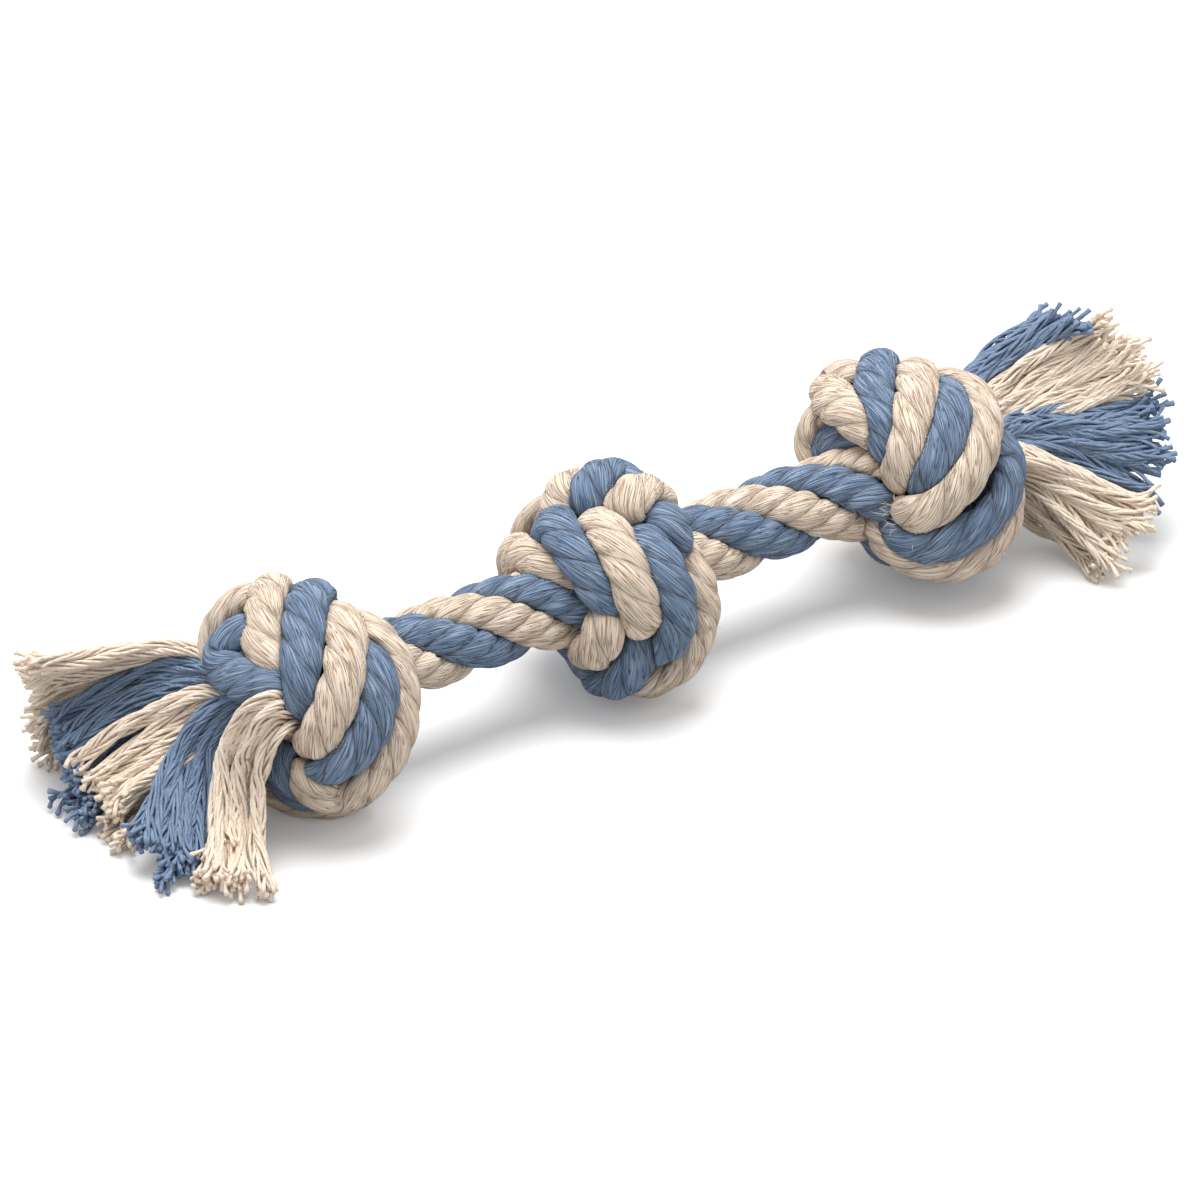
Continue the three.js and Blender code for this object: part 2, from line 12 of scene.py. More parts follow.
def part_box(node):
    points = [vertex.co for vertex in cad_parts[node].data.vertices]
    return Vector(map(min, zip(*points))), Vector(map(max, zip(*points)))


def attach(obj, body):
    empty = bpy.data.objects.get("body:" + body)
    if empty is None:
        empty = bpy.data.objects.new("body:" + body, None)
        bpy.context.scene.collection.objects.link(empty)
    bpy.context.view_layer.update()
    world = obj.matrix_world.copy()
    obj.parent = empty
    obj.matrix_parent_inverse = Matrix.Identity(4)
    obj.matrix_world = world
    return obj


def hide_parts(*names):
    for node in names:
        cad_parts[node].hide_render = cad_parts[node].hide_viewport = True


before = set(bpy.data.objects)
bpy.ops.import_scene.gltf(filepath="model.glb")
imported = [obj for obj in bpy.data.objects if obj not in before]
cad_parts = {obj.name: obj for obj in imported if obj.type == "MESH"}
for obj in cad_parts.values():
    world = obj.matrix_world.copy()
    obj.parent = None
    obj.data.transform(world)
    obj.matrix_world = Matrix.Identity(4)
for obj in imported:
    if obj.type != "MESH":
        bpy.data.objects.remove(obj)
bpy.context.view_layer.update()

# A rope dog toy: one length of four-strand cotton rope, two strands blue and two cream, tied in
# three hard knots, with both ends unlaid into tassels. All lengths are metres.
random.seed(4)

# The laid rope between the knots
# Cotton rope of four strands, cream and blue by turns, laid right-handed round each other. Every
# strand is itself three cords twisted the other way, which shows as slanting creases on it.
# cord_spread is how far a cord's own round stands out of the strand's: 0 would leave no crease.
strand_width = 0.0116
strand_depth = 0.0097
lay_radius = 0.0074
lay_length = 0.075
strands_per_rope = 4
cords_per_strand = 3
cord_pitch = 0.0192
cord_spread = 0.4
fibre_slant = 0.84
stretch_places = 12
strand_step = 0.0009
columns_per_cord = 12
column_crowding = 0.45
bezier_steps = 16
end_taper = 0.006
end_share = 0.55
lump_spacing = 0.009
lump_share = 0.05
left_start_turn = 0.325
left_entry_shift = 0.005
left_swell_share = 0
right_start_turn = 0.373
right_entry_shift = 0.007
right_swell_share = 0.35
knot_half_length = 0.0289
knot_radius = 0.033
core_length_share = 0.42
entry_share = 0.3


def middle_of(node):
    low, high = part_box(node)
    return (low + high) / 2


def smooth_route(places, step):
    """Points about one step apart on a smooth curve through the places, and their distances."""
    ends = [2 * places[0] - places[1], *places, 2 * places[-1] - places[-2]]
    fine = []
    for before, start, stop, after in zip(ends, ends[1:], ends[2:], ends[3:]):
        lead = start + (stop - before) / 6
        trail = stop - (after - start) / 6
        fine += interpolate_bezier(start, lead, trail, stop, bezier_steps)[:-1]
    fine = np.array(fine + [places[-1]])
    along = np.concatenate([[0], np.cumsum(np.linalg.norm(np.diff(fine, axis=0), axis=1))])
    marks = np.linspace(0, along[-1], max(4, round(along[-1] / step)) + 1)
    return np.column_stack([np.interp(marks, along, fine[:, k]) for k in range(3)]), marks


def unit(vectors):
    return vectors / np.linalg.norm(vectors, axis=-1, keepdims=True)


def frames_along(route, facing):
    """The directions ahead, outward and across at each point of a route."""
    ahead = unit(np.gradient(route, axis=0))
    outward = unit(facing - ahead * np.sum(facing * ahead, axis=1, keepdims=True))
    return ahead, outward, np.cross(ahead, outward)


def cord_columns():
    """The columns of a strand's skin: their angle round the strand, and off the cord's middle."""
    place = np.linspace(-1, 1, columns_per_cord + 1)
    half = math.pi / cords_per_strand
    off = half * ((1 - column_crowding) * place + column_crowding * np.sin(math.pi / 2 * place))
    angles = np.concatenate([half * (2 * k + 1) + off[:-1] for k in range(cords_per_strand)])
    offs = np.tile(off[:-1], cords_per_strand)
    return np.append(angles, 2 * math.pi), np.append(offs, -half)


def lumps(marks, seed):
    """A slow, uneven swelling along a cord, the same for the same seed."""
    dice = random.Random(seed)
    count = int(marks[-1] / lump_spacing) + 3
    heights = [dice.uniform(-lump_share, lump_share) for _ in range(count)]
    return np.interp(marks, np.arange(count) * lump_spacing, heights)


strands = []


def add_strand(node, colour, places, facing_of, width, depth, pitch, spread, slant):
    """Lays one strand along its places: three cords side by side, turned round each other.

    The skin is a grid of points, a row for each step of the route, closed at both ends.
    """
    route, marks = smooth_route(places, strand_step)
    facing = np.array([facing_of(Vector(p)) for p in route])
    ahead, outward, across = frames_along(route, facing)
    angles, offs = cord_columns()
    from_end = np.minimum(marks, marks[-1] - marks)
    taper = end_share + (1 - end_share) * np.clip(from_end / end_taper, 0, 1) ** 0.5
    taper[0] = taper[-1] = 0
    seed = len(strands)
    rise = (spread * np.cos(offs) + np.sqrt(1 - (spread * np.sin(offs)) ** 2)) / (1 + spread)
    swell = np.zeros((len(marks), len(angles)))
    for k in range(cords_per_strand):
        size = 1 + lumps(marks, seed * cords_per_strand + k)
        columns = slice(k * columns_per_cord, (k + 1) * columns_per_cord)
        swell[:, columns] = rise[columns] * size[:, None]
    swell[:, -1] = swell[:, 0]
    turn = angles[None, :] + (2 * math.pi * marks / pitch + seed)[:, None]
    reach = swell * taper[:, None]
    skin = (
        route[:, None]
        + across[:, None] * (np.cos(turn) * reach * width / 2)[..., None]
        + outward[:, None] * (np.sin(turn) * reach * depth / 2)[..., None]
    )
    crease = np.abs(offs) / (math.pi / cords_per_strand)
    strands.append({
        "node": node, "colour": colour, "route": route, "marks": marks, "skin": skin,
        "crease": np.tile(crease, (len(marks), 1)), "width": width, "slant": slant,
    })


def lay_stretch(side, start_turn, near, far, entry_shift, swell_share):
    """Four strands as helices from inside one knot to inside the next.

    The rope leaves the near knot on the middle knot's line. Before the far knot it swings towards
    the viewer's side by the entry shift and swells by its share.
    """
    start = near.x + knot_half_length * core_length_share
    end = far.x - knot_half_length * entry_share
    swing_start = far.x - knot_half_length - lay_radius

    def swing_share(x):
        share = min(max((x - swing_start) / (end - swing_start), 0), 1)
        return share * share * (3 - 2 * share)

    def axis_place(x):
        return Vector((x, middle_middle.y - swing_share(x) * entry_shift, near.z))

    counts = {"cream": 0, "blue": 0}
    for k in range(strands_per_rope):
        colour = "blue" if k % 2 else "cream"
        counts[colour] += 1
        places = []
        for i in range(stretch_places + 1):
            x = start + (end - start) * i / stretch_places
            turn = 2 * math.pi * (start_turn + (x - near.x) / lay_length + k / strands_per_rope)
            radius = lay_radius * (1 + swing_share(x) * swell_share)
            places.append(axis_place(x) + Vector((0, -math.sin(turn), math.cos(turn))) * radius)
        add_strand(
            f"{side}_rope_{colour}_strand_{counts[colour]}", colour, places,
            lambda p: p - axis_place(p.x), strand_width, strand_depth, cord_pitch, cord_spread,
            fibre_slant,
        )


left_middle = middle_of("left_knot_core")
middle_middle = middle_of("middle_knot_core")
right_middle = middle_of("right_knot_core")
lay_stretch(
    "left", left_start_turn, left_middle, middle_middle, left_entry_shift, left_swell_share,
)
lay_stretch(
    "right", right_start_turn, middle_middle, right_middle, right_entry_shift, right_swell_share,
)

# The left knot
# The same four strands, turned over each other and pulled hard. Each turn that shows is drawn from
# where it comes up out of the knot to where it dives again. A place on it is an angle round the
# rope, an angle along it and a share of the way out to the knot's skin.
turn_width = 0.0128
turn_depth = 0.0089
turn_thickness = 0.0086
turn_pitch = 0.028
turn_spread = 0.3
turn_slant = 0.71
shell_half_length = knot_half_length - turn_thickness / 2
shell_radius = knot_radius - turn_thickness / 2

left_turn_shares = [
    ["cream", [[-22, 38, 0.7], [-9, 33, 0.81], [10, 16, 0.9], [26, 3, 0.97], [45, -11, 1.01],
      [58, -22, 1.02], [70, -31, 1.02], [83, -39, 1], [102, -44, 0.84]]],
    ["blue", [[-80, 56, 0.78], [-60, 44, 0.92], [-40, 30, 0.98], [-22, 17, 1], [-8, 2, 1.01],
      [5, -12, 1.02], [18, -24, 1], [31, -35, 0.99], [46, -43, 0.94], [67, -48, 0.74]]],
    ["cream", [[-110, 50, 0.8], [-92, 38, 0.97], [-72, 25, 1.06], [-54, 12, 1.11], [-38, -1, 1.12],
      [-24, -16, 1.08], [-12, -34, 1.03], [1, -44, 1], [17, -50, 0.94], [30, -56, 0.74]]],
    ["blue", [[24, 40, 0.74], [37, 22, 0.84], [51, 12, 0.97], [65, 5, 1], [78, -4, 1.01],
      [89, -14, 1.01], [99, -25, 1], [111, -36, 0.93], [123, -47, 0.76]]],
    ["cream", [[-14, 48, 0.76], [6, 38, 0.84], [20, 32, 0.92], [35, 30, 0.98], [52, 32, 1],
      [71, 28, 1], [89, 22, 1], [103, 12, 1.01], [118, -1, 1.02], [135, -12, 1.02],
      [138, -23, 1.01], [131, -35, 0.98], [121, -42, 0.93], [113, -45, 0.8]]],
    ["blue", [[-20, -29, 0.88], [-25, -37, 1.04], [-34, -43, 1.12], [-43, -51, 1.14],
      [-31, -61, 1.12], [4, -62, 1.08], [28, -54, 0.98], [41, -50, 0.78]]],
    ["cream", [[-36, 2, 0.84], [-41, -7, 1.07], [-47, -14, 1.16], [-53, -22, 1.19],
      [-61, -30, 1.18], [-72, -38, 1.12], [-92, -45, 1.04], [-120, -44, 1], [-150, -41, 1],
      [-178, -31, 1.03], [-190, -16, 1.03], [-197, 0, 1.03], [-205, 16, 1.01], [-214, 32, 0.8]]],
    ["blue", [[113, -55, 0.72], [128, -56, 0.84], [143, -51, 0.92], [156, -36, 0.95],
      [161, -20, 0.95], [166, -7, 0.82], [168, 8, 0.7]]],
    ["blue", [[-46, -8, 0.76], [-60, -8, 0.95], [-74, 2, 1.02], [-90, 18, 1], [-105, 31, 1],
      [-122, 39, 0.95], [-146, 43, 0.72]]],
    ["cream", [[-66, -22, 0.76], [-80, -18, 0.95], [-100, -4, 1], [-115, 7, 1], [-128, 17, 1],
      [-143, 28, 0.97], [-165, 38, 0.76]]],
    ["blue", [[-98, -24, 0.76], [-112, -22, 0.94], [-128, -18, 1], [-144, -12, 1.02],
      [-158, -2, 1.04], [-171, 11, 1.04], [-182, 25, 1], [-190, 40, 0.78]]],
]


def knot_place(middle, around, along, out_share):
    """A place on a knot, from its two angles in degrees and its share of the way out."""
    roll = math.radians(around)
    lean = math.radians(along)
    return middle + out_share * Vector((
        shell_half_length * math.sin(lean),
        -shell_radius * math.cos(lean) * math.sin(roll),
        shell_radius * math.cos(lean) * math.cos(roll),
    ))


def tie_knot(side, middle, turn_shares):
    counts = {"cream": 0, "blue": 0}
    for colour, shares in turn_shares:
        counts[colour] += 1
        add_strand(
            f"{side}_knot_{colour}_turn_{counts[colour]}", colour,
            [knot_place(middle, *share) for share in shares],
            lambda p: p - middle, turn_width, turn_depth, turn_pitch, turn_spread, turn_slant,
        )


tie_knot("left", left_middle, left_turn_shares)

# The middle knot
# Tied like the left one, but seen from another side of its turns.
middle_turn_shares = [
    ["cream", [[1, -28, 0.72], [13, -27, 0.9], [24, -25, 1.01], [37, -25, 1.06], [52, -25, 1.09],
      [66, -25, 1.09], [78, -23, 1.04], [89, -20, 0.93], [101, -15, 0.75]]],
    ["blue", [[-44, -43, 0.74], [-25, -45, 0.9], [-9, -43, 1.01], [5, -44, 1.05], [23, -46, 1.06],
      [42, -46, 1.04], [59, -43, 1.01], [73, -39, 0.92], [89, -30, 0.75]]],
    ["blue", [[32, -5, 0.72], [38, -6, 0.88], [46, -4, 0.98], [58, -2, 1.03], [73, 1, 1.04],
      [88, 2, 1.03], [102, 1, 1], [114, -2, 0.93], [130, 0, 0.77]]],
    ["cream", [[17, 52, 0.8], [10, 40, 0.94], [9, 26, 1], [13, 10, 1.03], [17, -1, 1.01],
      [20, -5, 0.88], [25, -6, 0.7]]],
    ["blue", [[-8, 40, 0.84], [-12, 30, 0.97], [-19, 19, 1.02], [-13, 3, 1.03], [-6, -10, 1.01],
      [-2, -17, 0.9], [-2, -19, 0.72]]],
    ["blue", [[20, 14, 0.72], [26, 18, 0.88], [33, 20, 0.97], [42, 23, 0.98], [50, 33, 0.85],
      [58, 44, 0.7]]],
    ["cream", [[-64, 16, 0.72], [-50, 8, 0.88], [-38, 0, 0.96], [-31, -13, 0.98],
      [-25, -24, 0.9], [-14, -32, 0.7]]],
    ["cream", [[-112, -44, 0.8], [-96, -46, 0.98], [-80, -48, 1.03], [-58, -57, 1.05],
      [-22, -65, 1.03], [14, -67, 0.98], [45, -62, 0.8], [60, -58, 0.7]]],
    ["cream", [[44, 46, 0.7], [58, 38, 0.85], [77, 34, 0.95], [96, 35, 1.01], [112, 30, 1.05],
      [125, 21, 1.08], [136, 10, 1.08], [147, -2, 1.05], [157, -12, 0.9], [164, -20, 0.72]]],
    ["cream", [[75, -39, 0.72], [83, -41, 0.9], [92, -44, 1.01], [106, -47, 1.04],
      [120, -49, 1.02], [131, -48, 0.94], [144, -44, 0.75]]],
    ["blue", [[104, -12, 0.7], [114, -17, 0.9], [127, -22, 1.02], [142, -24, 1.05],
      [158, -24, 1], [174, -25, 0.87], [190, -28, 0.8], [206, -32, 0.78], [224, -38, 0.76],
      [240, -44, 0.7]]],
    ["cream", [[-34, -12, 0.7], [-46, -15, 0.86], [-56, -21, 0.93], [-68, -24, 0.96],
      [-86, -22, 0.97], [-106, -20, 1], [-124, -18, 0.92], [-140, -18, 0.72]]],
    ["cream", [[-56, 22, 0.76], [-72, 21, 0.94], [-88, 21, 1.02], [-104, 22, 1.03],
      [-120, 22, 1.03], [-138, 23, 1.03], [-156, 22, 1.02], [-170, 20, 0.95], [-186, 16, 0.75]]],
    ["blue", [[-88, 0, 0.74], [-100, 0, 0.92], [-114, 0, 1.01], [-130, 1, 1.03],
      [-146, -1, 1.04], [-162, -2, 1.05], [-178, -2, 1.05], [-194, 1, 0.95], [-208, 5, 0.74]]],
    ["blue", [[-46, 44, 0.76], [-60, 42, 0.95], [-76, 42, 1.02], [-96, 44, 1.02],
      [-118, 45, 1.01], [-140, 44, 1.01], [-160, 42, 1], [-180, 40, 0.96], [-196, 38, 0.78]]],
]

tie_knot("middle", middle_middle, middle_turn_shares)

# The right knot
# The last one tied; the end of its outer cream strand is tucked in and frays a little.
right_turn_shares = [
    ["cream", [[-32, 32, 0.74], [-13, 30, 0.87], [2, 33, 0.96], [16, 35, 1], [34, 27, 1.02],
      [48, 16, 1.02], [59, 4, 1.02], [68, -9, 1.01], [77, -23, 1], [85, -36, 1], [89, -47, 0.95],
      [92, -54, 0.82]]],
    ["blue", [[-92, 40, 0.8], [-78, 30, 0.98], [-60, 18, 1.04], [-44, 6, 1.06], [-29, -5, 1.05],
      [-12, -24, 1.03], [2, -34, 1.01], [14, -40, 0.98], [25, -46, 0.88], [36, -53, 0.7]]],
    ["cream", [[-78, 50, 0.82], [-55, 41, 0.91], [-36, 28, 0.94], [-15, 12, 0.95], [1, 0, 0.99],
      [13, -11, 1.02], [22, -21, 1.02], [32, -30, 1.01], [41, -38, 0.99], [53, -46, 0.88],
      [71, -53, 0.7]]],
    ["blue", [[-20, 42, 0.7], [-5, 33, 0.79], [12, 19, 0.88], [29, 5, 0.97], [40, -6, 1],
      [48, -15, 1], [55, -25, 0.98], [62, -33, 0.9], [74, -43, 0.72]]],
    ["blue", [[48, 45, 0.8], [57, 39, 0.95], [69, 39, 1], [82, 32, 1.02], [90, 21, 1.02],
      [96, 6, 1.02], [102, -10, 1.02], [109, -26, 1.02], [114, -41, 1.01], [116, -53, 0.96],
      [123, -63, 0.82]]],
    ["cream", [[88, 49, 0.84], [99, 45, 0.97], [108, 36, 1.03], [112, 22, 1.07], [118, 8, 1.08],
      [124, -6, 1.06], [128, -22, 1.04], [128, -38, 1.02], [126, -52, 1], [127, -63, 0.92],
      [150, -70, 0.76]]],
    ["cream", [[-41, -2, 0.84], [-44, -10, 1.05], [-48, -16, 1.16], [-52, -23, 1.18],
      [-41, -35, 1.14], [-14, -44, 1.1], [4, -45, 0.97], [15, -45, 0.76]]],
    ["cream", [[-59, -27, 0.82], [-62, -32, 1.02], [-67, -36, 1.12], [-74, -41, 1.14],
      [-81, -45, 1.12], [-90, -49, 1.06], [-102, -52, 0.92]]],
    ["blue", [[-8, -56, 0.7], [-31, -56, 0.87], [-66, -46, 0.92], [-84, -47, 1], [-98, -52, 1]]],
    ["blue", [[-78, -26, 0.76], [-90, -16, 0.94], [-101, -7, 1.01], [-113, 4, 1.02],
      [-124, 16, 1.02], [-134, 27, 0.99], [-144, 36, 0.88], [-156, 44, 0.7]]],
    ["cream", [[-58, -8, 0.74], [-70, -4, 0.94], [-83, 5, 1.03], [-96, 18, 1.02],
      [-108, 29, 1.01], [-122, 38, 0.94], [-136, 44, 0.74]]],
    ["cream", [[-84, -46, 0.76], [-98, -40, 0.94], [-118, -27, 1.01], [-133, -12, 1.02],
      [-145, 4, 1.03], [-155, 20, 1.02], [-163, 34, 0.96], [-168, 47, 0.78]]],
    ["blue", [[-150, -36, 0.64], [-162, -38, 0.78], [-174, -28, 0.86], [-183, -14, 0.86],
      [-190, 2, 0.97], [-197, 20, 1.02], [-201, 37, 0.93], [-200, 52, 0.7]]],
]

tie_knot("right", right_middle, right_turn_shares)

# The cores of the knots
# Inside each knot the rope passes through itself and is wound and pressed to a hard ball, of which
# only slivers of shaded strand show between the turns. core_lean is how near to the ball's ends, in
# degrees, the winding goes.
core_radius_share = 0.68
core_turns = 3
core_places = 40
core_lean = 72
core_stretch = 1.6


def wind_core(side, middle):
    half_length = knot_half_length * core_length_share * core_stretch
    radius = knot_radius * core_radius_share - strand_depth / 2
    places = []
    for i in range(core_places + 1):
        share = i / core_places
        roll = 2 * math.pi * core_turns * share
        lean = math.radians(core_lean) * (2 * share - 1)
        out = Vector((0, math.sin(roll), math.cos(roll))) * radius * math.cos(lean)
        places.append(middle + out + Vector((half_length * math.sin(lean), 0, 0)))
    # The core is blue, partly painted shade: its dark colour makes the slivers between the turns
    # read as shade.
    add_strand(
        f"{side}_knot_core", "blue", places, lambda p: p - middle, turn_width, turn_depth,
        turn_pitch, turn_spread, turn_slant,
    )


wind_core("left", left_middle)
wind_core("middle", middle_middle)
wind_core("right", right_middle)

# The knots pulled tight
# Where two strands lie against each other, the cotton gives and both go flat along one face, so
# no strand cuts through another. The upper strand keeps more of its round.
press_lean = 0.1
press_height = 0.008
press_least = 0.35
press_passes = 2
knot_middles = [left_middle, middle_middle, right_middle]


def height_above(point):
    return min((point - middle).length for middle in knot_middles)


def press(strand, others):
    """Pulls a strand's skin in to where it meets the strands beside, over and under it.

    The line between two strands lies halfway, or up to press_lean further from the one that lies
    higher on its knot.
    """
    places = [Vector(p) for other in others for p in other["route"]]
    tree = KDTree(len(places))
    for i, place in enumerate(places):
        tree.insert(place, i)
    tree.balance()
    heights = [height_above(place) for place in places]
    skin = strand["skin"]
    for _ in range(press_passes):
        for i, middle in enumerate(strand["route"]):
            centre = Vector(middle)
            height = height_above(centre)
            for j in range(skin.shape[1]):
                out = Vector(skin[i, j]) - centre
                near, index, gap = tree.find(centre + out)
                if gap > out.length:
                    continue
                reach = near - centre
                lean = min(max((height - heights[index]) / press_height, -1), 1)
                limit = (0.5 + press_lean * lean) * reach.length_squared
                along = out.dot(reach)
                if along > limit:
                    skin[i, j] = centre + out * max(limit / along, press_least)


def near_strands(strand):
    low = strand["route"].min(axis=0) - strand_width
    high = strand["route"].max(axis=0) + strand_width
    found = []
    for other in strands:
        if other is strand:
            continue
        if (other["route"].max(axis=0) > low).all() and (other["route"].min(axis=0) < high).all():
            found.append(other)
    return found


for strand in strands:
    press(strand, near_strands(strand))
    strand["skin"][..., 2] = np.maximum(strand["skin"][..., 2], 0)

# The cotton
# Two cottons, cream and blue. Fine fibres run along a strand at a slant, with thin slits between
# them, a few specks, and painted shade in the creases where two cords of the strand meet. Loose
# yarns are paler, partly painted light that lifts the shade among them.
fibre_width = 0.00045
fibre_length = 0.01
slit_width = 0.0007
slit_length = 0.009
slit_sway = 0.2
slit_depth_share = 0.8
bunch_width = 0.003
bunch_length = 0.04
bunch_shade = (0.93, 0.92, 0.91, 1)
speck_width = 0.0007
speck_length = 0.003
# The painted shade in the creases is broken up along them by a noise of this width, length and
# share.
crease_shade_break_width = 0.002
crease_shade_break_length = 0.006
crease_shade_break_share = 0.18
crease_shade = (0.46, 0.39, 0.33, 1)
fibre_relief = 0.0005
lobe_offset = 0.0373
loose_crease = -1.0
weld_distance = 1e-7
white = (1, 1, 1, 1)
black = (0, 0, 0, 1)


def cotton(name, slit, dark, middle, pale, speck, yarn):
    """A cotton that reads the crease attribute: 1 in a crease, 0 on a cord, less when loose."""
    material = bpy.data.materials.new(name)
    material.use_nodes = True
    nodes = material.node_tree.nodes
    links = material.node_tree.links
    shader = nodes["Principled BSDF"]
    shader.inputs["Roughness"].default_value = 0.9
    shader.inputs["Sheen Weight"].default_value = 0.06
    shader.inputs["Sheen Roughness"].default_value = 0.5
    shader.inputs["Specular IOR Level"].default_value = 0.12
    uv = nodes.new("ShaderNodeUVMap")
    uv.uv_map = "UVMap"

    def laid(width, length):
        """The skin's own coordinates, counted in fibres of this width and length."""
        mapping = nodes.new("ShaderNodeMapping")
        mapping.vector_type = "TEXTURE"
        mapping.inputs["Scale"].default_value = (width, length, 1)
        links.new(uv.outputs["UV"], mapping.inputs["Vector"])
        return mapping.outputs["Vector"]

    def streaks(width, length, sway=0.0, kind="FBM"):
        noise = nodes.new("ShaderNodeTexNoise")
        noise.noise_dimensions = "2D"
        noise.noise_type = kind
        noise.inputs["Scale"].default_value = 1
        noise.inputs["Detail"].default_value = 1
        noise.inputs["Distortion"].default_value = sway
        if kind != "FBM":
            noise.inputs["Offset"].default_value = 1
        links.new(laid(width, length), noise.inputs["Vector"])
        return noise.outputs["Fac"]

    def ramp(source, stops):
        """Colours by the source, at two or more positions."""
        node = nodes.new("ShaderNodeValToRGB")
        ends = node.color_ramp.elements
        ends[0].position, ends[0].color = stops[0]
        ends[1].position, ends[1].color = stops[-1]
        for position, colour in stops[1:-1]:
            node.color_ramp.elements.new(position).color = colour
        links.new(source, node.inputs["Fac"])
        return node.outputs["Color"]

    def narrowed(source, low, high):
        """The source from low to high, spread over 0 to 1 and cut off there."""
        node = nodes.new("ShaderNodeMapRange")
        node.inputs["From Min"].default_value = low
        node.inputs["From Max"].default_value = high
        links.new(source, node.inputs["Value"])
        return node.outputs["Result"]

    def sum_of(first, second, share):
        """The first and a share of the second."""
        node = nodes.new("ShaderNodeMath")
        node.operation = "MULTIPLY_ADD"
        links.new(second, node.inputs[0])
        node.inputs[1].default_value = share
        links.new(first, node.inputs[2])
        return node.outputs["Value"]

    def blend(kind, share, first, second):
        """The first colour with the second laid over it, by a share or by a socket's value."""
        node = nodes.new("ShaderNodeMix")
        node.data_type = "RGBA"
        node.blend_type = kind
        if isinstance(share, float):
            node.inputs["Factor"].default_value = share
        else:
            links.new(share, node.inputs["Factor"])
        links.new(first, node.inputs["A"])
        if isinstance(second, tuple):
            node.inputs["B"].default_value = second
        else:
            links.new(second, node.inputs["B"])
        return node.outputs["Result"]

    crease = nodes.new("ShaderNodeAttribute")
    crease.attribute_name = "crease"
    slits = nodes.new("ShaderNodeMath")
    slits.operation = "MULTIPLY"
    ridges = streaks(slit_width, slit_length, slit_sway, "RIDGED_MULTIFRACTAL")
    links.new(narrowed(ridges, 0.85, 1.4), slits.inputs[0])
    links.new(narrowed(crease.outputs["Fac"], -1.2, 0), slits.inputs[1])
    slits = slits.outputs["Value"]
    fibres = streaks(fibre_width, fibre_length)
    bunches = streaks(bunch_width, bunch_length)

    colour = ramp(fibres, [(0.3, dark), (0.52, middle), (0.8, pale)])
    colour = blend("MULTIPLY", 1.0, colour, ramp(slits, [(0.25, white), (0.85, slit)]))
    colour = blend("MULTIPLY", 1.0, colour, ramp(bunches, [(0.3, bunch_shade), (0.6, white)]))
    # Painted light: loose yarns and hairs take the paler yarn colour, which lifts the shade among
    # them.
    colour = blend("MIX", narrowed(crease.outputs["Fac"], 0, -2), colour, yarn)
    specks = ramp(streaks(speck_width, speck_length), [(0.7, black), (0.82, white)])
    colour = blend("MIX", specks, colour, speck)
    # Painted shade: the colour darkens in the creases where the cords meet, broken up by a noise.
    crease_shade_breaks = streaks(crease_shade_break_width, crease_shade_break_length)
    painted_crease_shade_mask = sum_of(crease.outputs["Fac"], crease_shade_breaks, -crease_shade_break_share)
    colour = blend("MULTIPLY", 1.0, colour, ramp(painted_crease_shade_mask, [(0.84, white), (0.93, crease_shade)]))
    links.new(colour, shader.inputs["Base Color"])

    bump = nodes.new("ShaderNodeBump")
    bump.inputs["Strength"].default_value = 0.9
    bump.inputs["Distance"].default_value = fibre_relief
    links.new(sum_of(fibres, slits, -slit_depth_share), bump.inputs["Height"])
    links.new(bump.outputs["Normal"], shader.inputs["Normal"])
    return material


cottons = {
    "cream": cotton(
        "cream_cotton", slit=(0.6, 0.45, 0.33, 1), dark=(0.83, 0.67, 0.52, 1),
        middle=(0.91, 0.76, 0.615, 1), pale=(0.97, 0.875, 0.775, 1),
        speck=(0.64, 0.47, 0.34, 1), yarn=(1, 0.87, 0.73, 1),
    ),
    "blue": cotton(
        "blue_cotton", slit=(0.38, 0.39, 0.45, 1), dark=(0.14, 0.21, 0.34, 1),
        middle=(0.21, 0.295, 0.43, 1), pale=(0.42, 0.5, 0.62, 1),
        speck=(0.13, 0.19, 0.3, 1), yarn=(0.24, 0.33, 0.48, 1),
    ),
}


